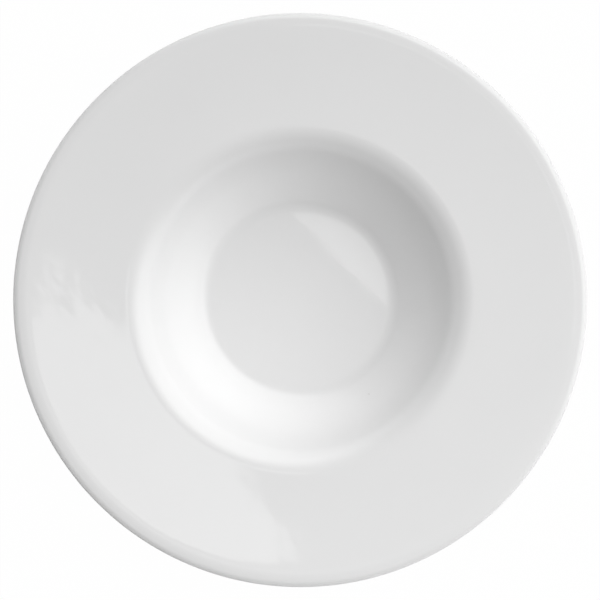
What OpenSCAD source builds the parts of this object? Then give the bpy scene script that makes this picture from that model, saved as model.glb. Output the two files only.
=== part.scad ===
// Rimmed soup plate of glazed porcelain. A deep round well with a flat floor opens over a rounded
// shoulder into a wide rim, which rises gently to a rolled lip. The plate stands on a bare foot ring.
// Millimetres, standing on z = 0, with its axis on +Z.

/* [Plate] */
// Diameter over the glazed lip
plate_d = 280; // [262:1:320]
// Height from the table to the top of the lip
plate_h = 39.5; // [35:0.5:48]
// Thickness of the clay in the wall and the rim
wall_t = 4.6; // [3.8:0.1:6.5]
// Thickness of the clay in the floor
floor_t = 4.8; // [3.8:0.1:7]

/* [Well] */
// Diameter at which the lines of floor and wall cross, before the corner is rounded
floor_d = 95.5; // [86:0.5:102]
// Diameter at which the lines of wall and rim cross, before the shoulder is rounded
mouth_d = 155.5; // [146:0.5:170]
// Angle by which the wall steepens on its way up
wall_bow = 16.5; // [4:0.5:20]
// Share of the way from floor to mouth at which the bowed wall is deepest
bow_share = 0.455; // [0.4:0.005:0.6]
// Radius of the wall's bow
bow_r = 99; // [60:1:140]
// Radius of the corner between floor and wall
corner_r = 12.5; // [4:0.5:15]
// Radius of the shoulder between wall and rim
shoulder_r = 16.8; // [10:0.2:20]

/* [Rim] */
// Mean slope of the rim, in degrees
rim_slope = 4; // [2:0.5:9]
// Angle by which the rim steepens on its way out
rim_dish = 1.4; // [0.4:0.2:3]
// Radius of the rim's dish
dish_r = 1600; // [600:50:2600]

/* [Lip] */
// Width over which the lip falls away outside its crest
lip_w = 5.4; // [4.4:0.1:7]
// Slope of that fall behind the brow, in degrees
lip_fall = 6; // [2:1:12]
// Radius of the crest
crest_r = 25; // [10:0.5:30]
// Width of the outermost fall, outside the brow
brow_w = 1.9; // [1.4:0.1:2.6]
// Slope of the outermost fall, in degrees
brow_fall = 27; // [16:1:36]
// Radius of the brow
brow_r = 5; // [2:0.1:7]
// Radius of the upper outer edge
edge_r = 1.8; // [0.8:0.1:2.4]
// Radius of the lower outer edge
under_r = 1.2; // [0.6:0.1:2]

/* [Foot ring] */
// Outer diameter of the foot ring at the table
foot_d = 106; // [102:1:112]
// Width of the foot ring at the table
foot_w = 4.4; // [3.6:0.1:6.5]
// Taper of the foot ring's sides, in degrees
foot_taper = 12; // [4:1:18]
// Radius of the foot ring's edges at the table
foot_edge_r = 1.1; // [0.5:0.1:1.5]
// Radius in the corner between foot ring and wall
foot_blend_r = 3; // [1.5:0.1:5]
// Depth of the recess inside the foot ring
recess_h = 3.2; // [2.4:0.1:5]
// Radius in the corner of the recess
recess_r = 2.2; // [1:0.1:3]

/* [Glaze] */
// Thickness of the glaze
glaze_t = 0.3; // [0.2:0.05:0.5]
// Height above the table to which the foot ring is wiped bare
bare_h = 1.5; // [1:0.1:2.2]

/* [Hidden] */
$fn = 180;
// Largest turn of one step along an arc, and the fewest steps that an arc has
arc_step = 4;
least_steps = 6;
// Share of an edge that the roundings at its two ends may take up
rounding_share = 0.98;
// How far a cutting shape runs past what it cuts
overrun = 1;

clay_r = plate_d / 2 - glaze_t;
clay_h = plate_h - glaze_t;
floor_r = floor_d / 2;
mouth_r = mouth_d / 2;
foot_r = foot_d / 2;
floor_z = recess_h + floor_t;

// Rim and lip, worked inwards from the crest, whose rounded top is at the clay's full height
slope_in = rim_slope - rim_dish / 2;
slope_out = rim_slope + rim_dish / 2;
crest_x = clay_r - lip_w;
crest_lift_share = cos((lip_fall - slope_out) / 2) / cos((lip_fall + slope_out) / 2) - 1;
crest_z = clay_h + crest_r * crest_lift_share;
brow_x = clay_r - brow_w;
brow_z = crest_z - (brow_x - crest_x) * tan(lip_fall);
edge_z = brow_z - brow_w * tan(brow_fall);
dish_x = (mouth_r + crest_x) / 2;
dish_z = crest_z - (crest_x - dish_x) * tan(slope_out);
mouth_z = dish_z - (dish_x - mouth_r) * tan(slope_in);

// The wall's straight line from floor to mouth, and the corner off that line that turns by the bow's angle
wall_line = [mouth_r - floor_r, mouth_z - floor_z];
bow_spread_share = 4 * bow_share * (1 - bow_share);
bow_depth_share = (sqrt(1 + bow_spread_share * tan(wall_bow) ^ 2) - 1) / (2 * tan(wall_bow));
bow = [floor_r, floor_z] + wall_line * bow_share + [wall_line.y, -wall_line.x] * bow_depth_share;

// An outline is a list of corners, each [x, z, radius]. It runs outwards with the clay on its right.
face = [
    [0, floor_z, 0],
    [floor_r, floor_z, corner_r],
    [bow.x, bow.y, bow_r],
    [mouth_r, mouth_z, shoulder_r],
    [dish_x, dish_z, dish_r],
    [crest_x, crest_z, crest_r],
    [brow_x, brow_z, brow_r],
    [clay_r, edge_z, edge_r]
];

// The back follows the face one wall thickness deeper, and the foot ring's outer side runs up into it
inner_face = grown(face, -wall_t);
back_bow = inner_face[2];
back_mouth = inner_face[3];
back_dish = inner_face[4];
under_z = back_dish.y + (clay_r - back_dish.x) * tan(slope_out);
back_run = (bow.x - floor_r) / (bow.y - floor_z);
foot_top_z = (foot_r - back_bow.x + back_bow.y * back_run) / (back_run - tan(foot_taper));

back = [
    [clay_r, under_z, under_r],
    back_dish,
    back_mouth,
    back_bow,
    [foot_r + foot_top_z * tan(foot_taper), foot_top_z, foot_blend_r],
    [foot_r, 0, foot_edge_r],
    [foot_r - foot_w, 0, foot_edge_r],
    [foot_r - foot_w - recess_h * tan(foot_taper), recess_h, recess_r],
    [0, recess_h, 0]
];

clay = eased(concat(face, back));

function point(corner) = [corner.x, corner.y];

function is_end(path, i) = i == 0 || i == len(path) - 1;

// Direction of travel from one corner to the next, in degrees
function way(a, b) = atan2(b.y - a.y, b.x - a.x);

// Unit vectors out of the clay: square to a direction of travel, and to the edge from a to b
function out_of(angle) = [-sin(angle), cos(angle)];
function outward(a, b) = out_of(way(a, b));

// Turn of the path at corner i, left turns positive
function turn(path, i) =
    let (change = way(path[i], path[i + 1]) - way(path[i - 1], path[i]))
    (change + 540) % 360 - 180;

// Length of the edge that leads to corner i
function edge(path, i) = norm(point(path[i]) - point(path[i - 1]));

// Length that the rounding of corner i takes from each of its edges
function reach(path, i) = is_end(path, i) ? 0 : path[i].z * tan(abs(turn(path, i)) / 2);

// The path with radii that fit the edges between them
function eased(path) = [
    for (i = [0 : len(path) - 1])
    is_end(path, i) ? path[i] :
    let (before = edge(path, i) / (reach(path, i - 1) + reach(path, i)))
    let (after = edge(path, i + 1) / (reach(path, i) + reach(path, i + 1)))
    [path[i].x, path[i].y, path[i].z * min(1, rounding_share * before, rounding_share * after)]
];

// The path moved out of the clay by a distance all along, with its roundings still concentric
function grown(path, by) = [
    for (i = [0 : len(path) - 1])
    let (last = len(path) - 1)
    let (before = outward(path[max(i - 1, 0)], path[max(i, 1)]))
    let (after = outward(path[min(i, last - 1)], path[min(i + 1, last)]))
    let (moved = point(path[i]) + by * (before + after) / (1 + before * after))
    [moved.x, moved.y, max(0, path[i].z - sign(cross(before, after)) * by)]
];

// Points along the rounding of corner i
function arc(path, i) =
    let (bend = turn(path, i))
    let (start_way = way(path[i - 1], path[i]))
    let (radius = sign(bend) * path[i].z)
    let (start = point(path[i]) - reach(path, i) * [cos(start_way), sin(start_way)])
    let (centre = start + radius * out_of(start_way))
    let (steps = max(least_steps, ceil(abs(bend) / arc_step)))
    [for (k = [0 : steps]) centre - radius * out_of(start_way + bend * k / steps)];

function rounded(path) = [
    for (i = [0 : len(path) - 1])
    each is_end(path, i) || path[i].z == 0 ? [point(path[i])] : arc(path, i)
];

// Half section of the clay, or of the clay with a coat on it
module half_section(coat) {
    polygon(rounded(grown(clay, coat)));
}

// Everything inside the middle of the foot ring, up to the middle of the floor
module recess_zone() {
    translate([-overrun, -overrun])
        square([foot_r - foot_w / 2 + overrun, recess_h + floor_t / 2 + overrun]);
}

// Half section of the glaze, wiped off the lower part of the foot ring
module glaze_section() {
    difference() {
        half_section(glaze_t);
        half_section(0);
        translate([foot_r - foot_w - overrun, -overrun])
            square([foot_w + 2 * overrun, bare_h + overrun]);
    }
}

// The fired clay: floor, wall, shoulder, rim, lip and foot ring in one piece
module porcelain_body() {
    color("whitesmoke")
        rotate_extrude()
            half_section(0);
}

// The coat over the well, the rim, the lip and the back, down to the foot ring's outer side
module outer_glaze() {
    color("white")
        rotate_extrude()
            difference() {
                glaze_section();
                recess_zone();
            }
}

// The coat inside the foot ring
module recess_glaze() {
    color("white")
        rotate_extrude()
            intersection() {
                glaze_section();
                recess_zone();
            }
}

porcelain_body();
outer_glaze();
recess_glaze();
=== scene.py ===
import math

import bpy
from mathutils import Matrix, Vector


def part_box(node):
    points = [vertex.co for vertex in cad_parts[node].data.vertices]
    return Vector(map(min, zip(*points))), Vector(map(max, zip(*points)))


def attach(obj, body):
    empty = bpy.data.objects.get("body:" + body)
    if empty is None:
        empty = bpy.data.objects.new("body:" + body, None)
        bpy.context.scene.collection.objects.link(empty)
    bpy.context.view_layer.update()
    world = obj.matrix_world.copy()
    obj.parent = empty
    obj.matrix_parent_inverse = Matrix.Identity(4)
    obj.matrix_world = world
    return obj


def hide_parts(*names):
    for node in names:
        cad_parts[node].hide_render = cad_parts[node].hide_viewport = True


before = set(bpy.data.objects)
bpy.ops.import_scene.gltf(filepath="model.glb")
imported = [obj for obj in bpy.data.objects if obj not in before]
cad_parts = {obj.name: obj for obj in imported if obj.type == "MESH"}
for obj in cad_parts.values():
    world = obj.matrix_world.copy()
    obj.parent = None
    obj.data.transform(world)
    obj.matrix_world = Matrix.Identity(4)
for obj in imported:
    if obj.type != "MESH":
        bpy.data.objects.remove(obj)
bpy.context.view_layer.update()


# Porcelain body
# The plate itself: one piece of white porcelain clay, turned on a wheel from a single outline and fired.
# Glaze covers it all but the foot ring's standing edge, which is wiped so that it can't stick in the kiln.

body_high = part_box("porcelain_body")[1]
coat_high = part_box("outer_glaze")[1]
glaze_t = coat_high.x - body_high.x
clay_r = body_high.x
clay_h = body_high.z
wall_t = 0.0046
floor_t = 0.0048

floor_r = 0.04775
mouth_r = 0.07775
wall_bow = math.radians(16.5)
bow_share = 0.455
bow_r = 0.099
corner_r = 0.0125
shoulder_r = 0.0168

rim_slope = math.radians(4)
rim_dish = math.radians(1.4)
dish_r = 1.6
lip_w = 0.0054
lip_fall = math.radians(4)
crest_r = 0.025
brow_w = 0.0019
brow_fall = math.radians(27)
brow_r = 0.005
edge_r = 0.0018
under_r = 0.0012

foot_r = 0.053
foot_w = 0.0044
foot_taper = math.radians(12)
foot_edge_r = 0.0011
foot_blend_r = 0.003
recess_h = 0.0032
recess_r = 0.0022

rounding_share = 0.98
turntable_steps = 192
ring_gap = 0.003
arc_error = 0.000003
least_steps = 3
weld_gap = 1e-6

clay_colour = (0.80, 0.79, 0.77, 1)
clay_roughness = 0.72
grain_scale = 2600
grain_detail = 3
grain_roughness = 0.2
grain_strength = 0.35
grain_depth = 0.0001
scuffed_colour = (0.52, 0.51, 0.49, 1)
scuff_scale = 260
scuff_detail = 4
scuff_level = 0.58
scuff_h = 0.0002
scuff_strength = 0.55
scuff_polish = 0.15


def heading(a, b):
    """Direction of travel from corner a to corner b."""
    return math.atan2(b[1] - a[1], b[0] - a[0])


def along(angle):
    """Unit vector in a direction of travel."""
    return Vector((math.cos(angle), math.sin(angle)))


def out_of(angle):
    """Unit vector out of the clay, which lies on the right of a direction of travel."""
    return Vector((-math.sin(angle), math.cos(angle)))


def turn_at(path, i):
    """Turn of the path at corner i, left turns positive."""
    change = heading(path[i], path[i + 1]) - heading(path[i - 1], path[i])
    return (change + 3 * math.pi) % (2 * math.pi) - math.pi


def reach(path, i):
    """Length that the rounding of corner i takes from each of its edges."""
    if i in (0, len(path) - 1):
        return 0
    return path[i][2] * math.tan(abs(turn_at(path, i)) / 2)


def slack(path, i):
    """How many times the edge after corner i holds what the roundings at its two ends take."""
    return math.dist(path[i][:2], path[i + 1][:2]) / max(weld_gap, reach(path, i) + reach(path, i + 1))


def eased(path, share=rounding_share):
    """The path with radii that fit the edges between them, and take up no more than a share of an edge."""
    fitted = [path[0]]
    for i, (x, z, radius) in list(enumerate(path))[1:-1]:
        fitted.append((x, z, radius * min(1, share * slack(path, i - 1), share * slack(path, i))))
    return fitted + [path[-1]]


def grown(path, by):
    """The path moved out of the clay by a distance all along, with its roundings still concentric."""
    moved = []
    last = len(path) - 1
    for i, (x, z, radius) in enumerate(path):
        before = out_of(heading(path[max(i - 1, 0)], path[max(i, 1)]))
        after = out_of(heading(path[min(i, last - 1)], path[min(i + 1, last)]))
        shift = by * (before + after) / (1 + before.dot(after))
        side = before.x * after.y - before.y * after.x
        moved_radius = max(0, radius - math.copysign(by, by * side)) if radius else 0
        moved.append((x + shift.x, z + shift.y, moved_radius))
    return moved


def clay_outline():
    """Half section of the clay as corners (x, z, radius), over the face, round the lip and back under."""
    floor_z = recess_h + floor_t
    slope_in = rim_slope - rim_dish / 2
    slope_out = rim_slope + rim_dish / 2
    crest_x = clay_r - lip_w
    crest_lift_share = math.cos((lip_fall - slope_out) / 2) / math.cos((lip_fall + slope_out) / 2) - 1
    crest_z = clay_h + crest_r * crest_lift_share
    brow_x = clay_r - brow_w
    brow_z = crest_z - (brow_x - crest_x) * math.tan(lip_fall)
    edge_z = brow_z - brow_w * math.tan(brow_fall)
    dish_x = (mouth_r + crest_x) / 2
    dish_z = crest_z - (crest_x - dish_x) * math.tan(slope_out)
    mouth_z = dish_z - (dish_x - mouth_r) * math.tan(slope_in)
    run, rise = mouth_r - floor_r, mouth_z - floor_z
    spread_share = 4 * bow_share * (1 - bow_share)
    depth_share = (math.sqrt(1 + spread_share * math.tan(wall_bow) ** 2) - 1) / (2 * math.tan(wall_bow))
    bow_x = floor_r + run * bow_share + rise * depth_share
    bow_z = floor_z + rise * bow_share - run * depth_share
    face = [
        (0, floor_z, 0),
        (floor_r, floor_z, corner_r),
        (bow_x, bow_z, bow_r),
        (mouth_r, mouth_z, shoulder_r),
        (dish_x, dish_z, dish_r),
        (crest_x, crest_z, crest_r),
        (brow_x, brow_z, brow_r),
        (clay_r, edge_z, edge_r),
    ]
    back_bow, back_mouth, back_dish = grown(face, -wall_t)[2:5]
    under_z = back_dish[1] + (clay_r - back_dish[0]) * math.tan(slope_out)
    back_run = (bow_x - floor_r) / (bow_z - floor_z)
    foot_top_z = (foot_r - back_bow[0] + back_bow[1] * back_run) / (back_run - math.tan(foot_taper))
    back = [
        (clay_r, under_z, under_r),
        back_dish,
        back_mouth,
        back_bow,
        (foot_r + foot_top_z * math.tan(foot_taper), foot_top_z, foot_blend_r),
        (foot_r, 0, foot_edge_r),
        (foot_r - foot_w, 0, foot_edge_r),
        (foot_r - foot_w - recess_h * math.tan(foot_taper), recess_h, recess_r),
        (0, recess_h, 0),
    ]
    return eased(face + back)


def extrude_run(start, end):
    """Extrudes the pen's vertex along a straight run, in steps that shorten towards both ends."""
    steps = max(least_steps, math.ceil((end - start).length / ring_gap))
    done = 0
    for k in range(1, steps + 1):
        share = (1 - math.cos(math.pi * k / steps)) / 2
        step = (end - start) * (share - done)
        bpy.ops.mesh.extrude_region_move(TRANSFORM_OT_translate={"value": (step.x, 0, step.y)})
        done = share


def draw_outline(name, path):
    """Draws a path from its first corner with one vertex as the pen: runs are extruded, roundings spun."""
    start = Vector(path[0][:2])
    bpy.ops.object.select_all(action="DESELECT")
    bpy.ops.mesh.primitive_plane_add(size=ring_gap, location=(start.x, 0, start.y))
    piece = bpy.context.object
    piece.name = piece.data.name = name
    bpy.ops.object.transform_apply(location=True)
    bpy.ops.object.mode_set(mode="EDIT")
    bpy.ops.mesh.merge(type="CENTER")
    for i, (x, z, radius) in list(enumerate(path))[1:-1]:
        way_in, turn = heading(path[i - 1], path[i]), turn_at(path, i)
        arc_start = Vector((x, z)) - reach(path, i) * along(way_in)
        extrude_run(start, arc_start)
        if radius > 0:
            centre = arc_start + math.copysign(radius, turn) * out_of(way_in)
            arc_step = min(2 * math.acos(1 - arc_error / radius), ring_gap / radius)
            steps = max(least_steps, math.ceil(abs(turn) / arc_step))
            bpy.ops.mesh.spin(steps=steps, angle=turn, center=(centre.x, 0, centre.y), axis=(0, 1, 0))
        start = Vector((x, z)) + reach(path, i) * along(way_in + turn)
    extrude_run(start, Vector(path[-1][:2]))
    return piece


def turn_on_wheel():
    """Spins the drawn outline round the plate's axis and welds it into one smooth skin."""
    bpy.ops.mesh.select_all(action="SELECT")
    bpy.ops.mesh.spin(steps=turntable_steps, angle=2 * math.pi, center=(0, 0, 0), axis=(0, 0, 1))
    bpy.ops.mesh.select_all(action="SELECT")
    bpy.ops.mesh.remove_doubles(threshold=weld_gap)
    bpy.ops.mesh.normals_make_consistent(inside=False)
    bpy.ops.object.mode_set(mode="OBJECT")
    bpy.ops.object.shade_smooth()


class Value:
    """A socket of a node tree. Sums on it add Math nodes, and node() adds a node of any other type."""

    def __init__(self, socket):
        self.socket = socket

    def node(self, kind, settings, inputs, output=0):
        tree = self.socket.id_data
        made = tree.nodes.new(kind)
        for name, setting in settings.items():
            setattr(made, name, setting)
        for name, value in inputs.items():
            if isinstance(value, Value):
                tree.links.new(value.socket, made.inputs[name])
            else:
                made.inputs[name].default_value = value
        return Value(made.outputs[output])

    def sum(self, operation, first, second):
        return self.node("ShaderNodeMath", {"operation": operation}, {0: first, 1: second})

    def __add__(self, other):
        return self.sum("ADD", self, other)

    def __sub__(self, other):
        return self.sum("SUBTRACT", self, other)

    def __rsub__(self, other):
        return self.sum("SUBTRACT", other, self)

    def __mul__(self, other):
        return self.sum("MULTIPLY", self, other)

    def __truediv__(self, other):
        return self.sum("DIVIDE", self, other)

    def __abs__(self):
        return self.node("ShaderNodeMath", {"operation": "ABSOLUTE"}, {0: self})

    def __lt__(self, other):
        return self.sum("LESS_THAN", self, other)

    def __gt__(self, other):
        return self.sum("GREATER_THAN", self, other)

    __radd__ = __add__
    __rmul__ = __mul__

    def noise(self, scale, detail):
        """Noise at the place that this holds."""
        inputs = {"Vector": self, "Scale": scale, "Detail": detail}
        return self.node("ShaderNodeTexNoise", {}, inputs)

    def blend(self, first, second):
        """The first colour where this is 0, and the second where it is 1, by a Mix node's colour sockets."""
        return self.node("ShaderNodeMix", {"data_type": "RGBA"}, {0: self, 6: first, 7: second}, 2)

    def bump(self, strength, depth):
        """A normal that follows this as a height."""
        return self.node("ShaderNodeBump", {}, {"Height": self, "Strength": strength, "Distance": depth})

    def feed(self, socket):
        self.socket.id_data.links.new(self.socket, socket)


def new_finish(piece, name):
    """Gives a piece a new material, and returns the material's shader and the piece's own coordinates."""
    finish = bpy.data.materials.new(name)
    finish.use_nodes = True
    piece.data.materials.clear()
    piece.data.materials.append(finish)
    coordinates = finish.node_tree.nodes.new("ShaderNodeTexCoord")
    return finish.node_tree.nodes["Principled BSDF"], Value(coordinates.outputs["Object"])


clay = clay_outline()
body = draw_outline("fired_body", clay)
turn_on_wheel()

shader, place = new_finish(body, "bare_porcelain")
height = place.node("ShaderNodeSeparateXYZ", {}, {"Vector": place}, "Z")
scuffs = place.noise(scuff_scale, scuff_detail) > scuff_level
worn = scuffs * (height < scuff_h)
grain = place.noise(grain_scale, grain_detail)
(worn * scuff_strength).blend(clay_colour, scuffed_colour).feed(shader.inputs["Base Color"])
(clay_roughness + grain * grain_roughness - worn * scuff_polish).feed(shader.inputs["Roughness"])
grain.bump(grain_strength, grain_depth).feed(shader.inputs["Normal"])

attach(body, "root")
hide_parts("porcelain_body")


# Outer glaze
# The white glaze, a coat of glass a third of a millimetre thick that the dipped plate takes in the second
# firing. It covers well, rim, lip and back, down to the wiped line on the foot ring's outer side.

bare_h = 0.0015
undulation_scale = 0.030
undulation_depth = 0.00005
wipe_scale = 0.009
wipe_swing = 0.0004
wipe_blend = 0.0012
crease = math.radians(50)

glaze_colour = (0.90, 0.90, 0.90, 1)
clouded_colour = (0.885, 0.885, 0.885, 1)
clouding_scale = 24
clouding_detail = 2
speck_colour = (0.30, 0.29, 0.27, 1)
speck_place = (0.0342, -0.0468, 0)
speck_r = 0.0004
speck_strength = 0.17
least_roughness = 0.012
roughness_swing = 0.012
roughness_scale = 70
roughness_detail = 2
dent_scale = 50
dent_detail = 2
dent_strength = 1
dent_depth = 0.000018
pit_scale = 170
pit_detail = 1
pit_share = 0.35


def wiped_off(path):
    """The path up to where it first comes down to the wiped line, on a side of the foot ring."""
    last = next(i for i, (_, z, _) in enumerate(path) if z < bare_h)
    (x0, z0, _), (x1, z1, _) = path[last - 1], path[last]
    share = (bare_h - z0) / (z1 - z0)
    return path[:last] + [(x0 + (x1 - x0) * share, bare_h, 0)]


def glaze_finish(piece):
    """White glaze: a hard gloss with fine dents, faint clouding and one iron speck in the well."""
    shader, place = new_finish(piece, "white_glaze")
    clouding = place.noise(clouding_scale, clouding_detail)
    from_above = place.node("ShaderNodeVectorMath", {"operation": "MULTIPLY"}, {0: place, 1: (1, 1, 0)})
    ends = {0: from_above, 1: speck_place}
    speck = place.node("ShaderNodeVectorMath", {"operation": "DISTANCE"}, ends, "Value") < speck_r
    colour = clouding.blend(clouded_colour, glaze_colour)
    (speck * speck_strength).blend(colour, speck_colour).feed(shader.inputs["Base Color"])
    gloss = place.noise(roughness_scale, roughness_detail)
    (least_roughness + gloss * roughness_swing).feed(shader.inputs["Roughness"])
    dents = place.noise(dent_scale, dent_detail) + place.noise(pit_scale, pit_detail) * pit_share
    dents.bump(dent_strength, dent_depth).feed(shader.inputs["Normal"])


def apply_all(piece):
    """Applies the piece's modifiers in order."""
    for modifier in list(piece.modifiers):
        bpy.ops.object.modifier_apply(modifier=modifier.name)


def cloud(name, scale):
    """Soft clouds without fine detail, for a displacement."""
    texture = bpy.data.textures.new(name, "CLOUDS")
    texture.noise_scale = scale
    texture.noise_depth = 0
    return texture


def glaze_coat(name, path):
    """A coat of glaze from its outer outline: turned, given swells and a wavering edge, and thickened.

    The swells only sink, and the coat is thinner by their depth, so that it stays on the clay.
    """
    coat = draw_outline(name, path)
    turn_on_wheel()
    wiped = coat.vertex_groups.new(name="wiped_edge")
    for vertex in coat.data.vertices:
        wiped.add([vertex.index], max(0, 1 - (vertex.co.z - bare_h) / wipe_blend), "REPLACE")
    swell = coat.modifiers.new("swell", "DISPLACE")
    swell.texture = cloud("swell", undulation_scale)
    swell.strength = undulation_depth
    swell.mid_level = 1
    waver = coat.modifiers.new("waver", "DISPLACE")
    waver.texture = cloud("waver", wipe_scale)
    waver.direction = "Z"
    waver.strength = wipe_swing
    waver.vertex_group = "wiped_edge"
    wall = coat.modifiers.new("wall", "SOLIDIFY")
    wall.thickness = glaze_t - undulation_depth
    wall.offset = -1
    wall.use_even_offset = True
    apply_all(coat)
    bpy.ops.object.shade_smooth_by_angle(angle=crease)
    glaze_finish(coat)
    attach(coat, "root")
    return coat


coat_path = grown(clay, glaze_t)
outer = glaze_coat("glaze_coat", eased(wiped_off(coat_path)))
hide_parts("outer_glaze")


# Recess glaze
# The same glaze inside the foot ring, parted from the outer coat by the wiped ring. It faces down, and
# is drawn from the axis outwards, so the outline is followed backwards.

recess_rounding_share = 0.7

recess = glaze_coat("recess_coat", eased(wiped_off(coat_path[::-1]), recess_rounding_share))
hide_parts("recess_glaze")


# Table and sweep
# A white table top with a low wall far out all round it. Both look white, also where the glaze mirrors
# them, but the wall throws as little light on the plate as a dark one. From below or outside they are clear.

sweep_r = 4
sweep_h = 0.56
sweep_sides = 128
floor_drop = 0.00005
table_colour = (0.8, 0.8, 0.8, 1)
wall_colour = (0.08, 0.08, 0.08, 1)
wall_foot = 0.01
glow_colour = (1, 1, 1, 1)
shown_white = 0.99

bpy.ops.object.select_all(action="DESELECT")
bpy.ops.mesh.primitive_circle_add(
    vertices=sweep_sides, radius=sweep_r, fill_type="NGON", location=(0, 0, -floor_drop)
)
sweep = bpy.context.object
sweep.name = "white_sweep"
bpy.ops.object.transform_apply(location=True)
bpy.ops.object.mode_set(mode="EDIT")
bpy.ops.mesh.select_mode(type="EDGE")
bpy.ops.mesh.select_all(action="SELECT")
bpy.ops.mesh.region_to_loop()
bpy.ops.mesh.extrude_region_move(TRANSFORM_OT_translate={"value": (0, 0, sweep_h)})
bpy.ops.mesh.select_all(action="SELECT")
bpy.ops.mesh.normals_make_consistent(inside=True)
bpy.ops.object.mode_set(mode="OBJECT")

white = bpy.data.materials.new("white_sweep")
white.use_nodes = True
tree = white.node_tree
tree.nodes.clear()
output = tree.nodes.new("ShaderNodeOutputMaterial")
paint = tree.nodes.new("ShaderNodeBsdfDiffuse")
place = Value(tree.nodes.new("ShaderNodeTexCoord").outputs["Object"])
height = place.node("ShaderNodeSeparateXYZ", {}, {"Vector": place}, "Z")
(height > wall_foot).blend(table_colour, wall_colour).feed(paint.inputs["Color"])
glow = tree.nodes.new("ShaderNodeEmission")
glow.inputs["Color"].default_value = glow_colour
clear = tree.nodes.new("ShaderNodeBsdfTransparent")
painted, glowing, cleared = (Value(shade.outputs[0]) for shade in (paint, glow, clear))
path_kind = tree.nodes.new("ShaderNodeLightPath")
seen = Value(path_kind.outputs["Is Camera Ray"]) + Value(path_kind.outputs["Is Glossy Ray"])
seen = seen + Value(path_kind.outputs["Is Transmission Ray"])
lit = painted.node("ShaderNodeMixShader", {}, {0: seen * shown_white, 1: painted, 2: glowing})
outside = Value(tree.nodes.new("ShaderNodeNewGeometry").outputs["Backfacing"])
lit.node("ShaderNodeMixShader", {}, {0: outside, 1: lit, 2: cleared}).feed(output.inputs["Surface"])
sweep.data.materials.append(white)


# Light
# A dim room, dark low down, that brightens towards the upper right, where a wide panel hangs. A narrow card
# stands beside the lens, and a pale patch lies round it: floor and rim mirror both. What looks past the
# plate, or mirrors the lower room, sees a white backdrop. A small fill lamp stands at the lower right.

room_grey = 0.18
room_azimuth = math.radians(56)
room_swing = 0.44
horizon_grey = 0.59
horizon_foot = math.sin(math.radians(9))
horizon_top = math.sin(math.radians(24))
backdrop_top = math.sin(math.radians(34))
panel_azimuth = math.radians(44)
panel_near = math.tan(math.radians(10))
panel_full = math.tan(math.radians(38))
panel_spread = math.tan(math.radians(78))
panel_fade = 1.5
panel_radiance = 3.12
card_azimuth = math.radians(40.5)
card_near = math.tan(math.radians(1.42))
card_full = math.tan(math.radians(1.65))
card_far = math.tan(math.radians(7))
card_half_near = math.tan(math.radians(1))
card_spread = 0.9
card_radiance = 2.27
halo_azimuth = math.radians(222)
halo_off = math.tan(math.radians(1.9))
halo_r = math.tan(math.radians(3.6))
halo_radiance = 0.8
fill_azimuth = math.radians(318)
fill_elevation = math.radians(48)
fill_distance = 0.6
fill_w = 0.4
fill_h = 0.3
fill_radiance = 1.48

room = bpy.data.worlds.new("room")
bpy.context.scene.world = room
room.use_nodes = True
air = room.node_tree.nodes["Background"]
air.inputs["Color"].default_value = glow_colour
direction = Value(room.node_tree.nodes.new("ShaderNodeTexCoord").outputs["Generated"])
x, y, z = (direction.node("ShaderNodeSeparateXYZ", {}, {"Vector": direction}, axis) for axis in "XYZ")


def bearing(azimuth):
    """How far a direction points towards an azimuth, and how far to either side of it."""
    ahead = x * math.cos(azimuth) + y * math.sin(azimuth)
    aside = abs(y * math.cos(azimuth) - x * math.sin(azimuth))
    return ahead, aside


towards, _ = bearing(room_azimuth)
graded = room_grey + (z < horizon_top) * (horizon_grey - room_grey)
graded = (graded + room_swing * towards.sum("MAXIMUM", towards, 0)) * (abs(z) > horizon_foot)

forward, sideways = bearing(panel_azimuth)
ease = {"interpolation_type": "SMOOTHSTEP"}
rising = {"Value": forward / z, "From Min": panel_near, "From Max": panel_full}
panel = (z > horizon_foot) * z.sum("POWER", z, panel_fade) * z.node("ShaderNodeMapRange", ease, rising)
panel = panel * (sideways < forward * panel_spread)

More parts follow.
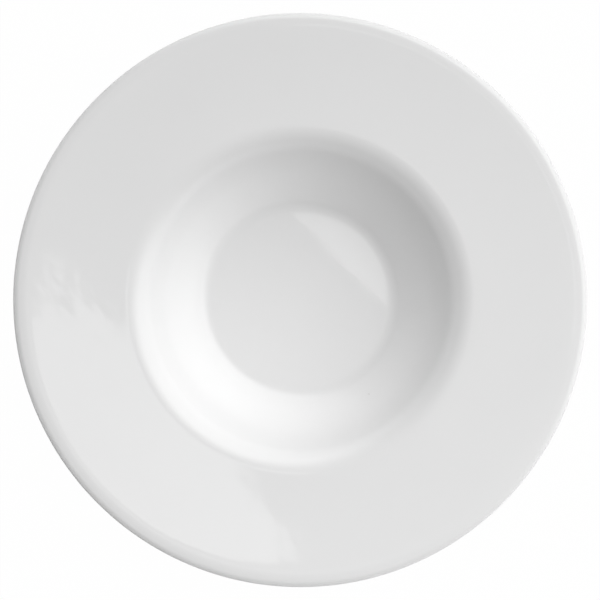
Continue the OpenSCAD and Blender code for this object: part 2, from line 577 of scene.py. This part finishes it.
forward, sideways = bearing(card_azimuth)
rising = {"Value": forward / z, "From Min": card_near, "From Max": card_full}
card = (z > 0) * (forward < z * card_far) * z.node("ShaderNodeMapRange", ease, rising)
card = card * (sideways < forward * card_spread + z * card_half_near) * (1 - forward / (z * card_far))

forward, sideways = bearing(halo_azimuth)
ahead, aside = forward / z - halo_off, sideways / z
halo = 1 - (ahead * ahead + aside * aside) / halo_r ** 2
halo = (z > 0) * halo.sum("MAXIMUM", halo, 0)
light = graded + panel * panel_radiance + card * card_radiance + halo * halo * halo_radiance

rays = room.node_tree.nodes.new("ShaderNodeLightPath")
mirrored = Value(rays.outputs["Is Glossy Ray"]) + Value(rays.outputs["Is Transmission Ray"])
backdrop = Value(rays.outputs["Is Camera Ray"]) + mirrored * (z < backdrop_top)
light.sum("MAXIMUM", light, backdrop).feed(air.inputs["Strength"])

lamp = bpy.data.lights.new("fill", "AREA")
lamp.shape = "RECTANGLE"
lamp.size = fill_w
lamp.size_y = fill_h
lamp.energy = fill_radiance * math.pi * fill_w * fill_h
fill = bpy.data.objects.new("fill", lamp)
bpy.context.scene.collection.objects.link(fill)
level = fill_distance * math.cos(fill_elevation)
fill.location.x = level * math.cos(fill_azimuth)
fill.location.y = level * math.sin(fill_azimuth)
fill.location.z = fill_distance * math.sin(fill_elevation)
fill.rotation_euler = fill.location.to_track_quat("Z", "Y").to_euler()
fill.visible_camera = False
fill.visible_glossy = False


# Camera
# Straight above the plate, at a little over a metre, framed as a picture of 600 by 600 pixels. The lens
# follows from the plate's size in that picture.

picture_px = 600
plate_r_px = 287.0
centre_px = Vector((300.2, 300.07))
camera_h = 1.045
widest_z = 0.0366
sensor_mm = 36

camera = bpy.data.objects.new("camera", bpy.data.cameras.new("camera"))
bpy.context.scene.collection.objects.link(camera)
bpy.context.scene.camera = camera
px = coat_high.x / plate_r_px
camera.data.sensor_width = sensor_mm
camera.data.lens = sensor_mm * (camera_h - widest_z) / (picture_px * px)
offset = centre_px - Vector((picture_px, picture_px)) / 2
camera.location = (-offset.x * px, offset.y * px, camera_h)

bpy.context.scene.view_settings.view_transform = "Standard"
